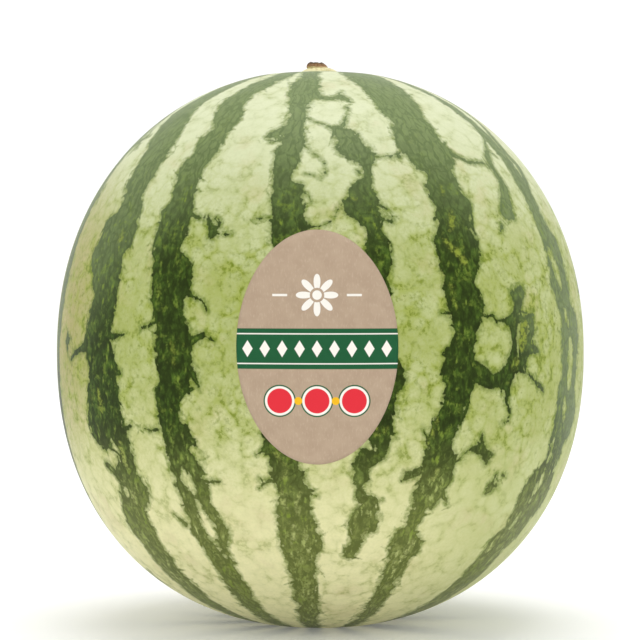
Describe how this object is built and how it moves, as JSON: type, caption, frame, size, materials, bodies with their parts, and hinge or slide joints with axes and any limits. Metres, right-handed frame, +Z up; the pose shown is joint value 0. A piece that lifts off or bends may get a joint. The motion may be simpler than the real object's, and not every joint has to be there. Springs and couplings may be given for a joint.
{
  "type": "watermelon",
  "caption": "Whole round striped watermelon standing on its blossom end, with a dried stem stub on top and an oval paper label on the front.",
  "frame": {"origin": "on the surface the fruit stands on, under the middle of the fruit", "axes": "+Z up through the stem, the label faces -Y, +X is to the right as the label is seen"},
  "size_m": [0.235, 0.2357, 0.2509],
  "materials": {
    "rind": "satin",
    "dried_stem": "matte",
    "label_paper": "matte"
  },
  "bodies": {
    "root": {"fruit": "rind", "stem_stub": "dried_stem", "label": "label_paper"}
  },
  "joints": []
}
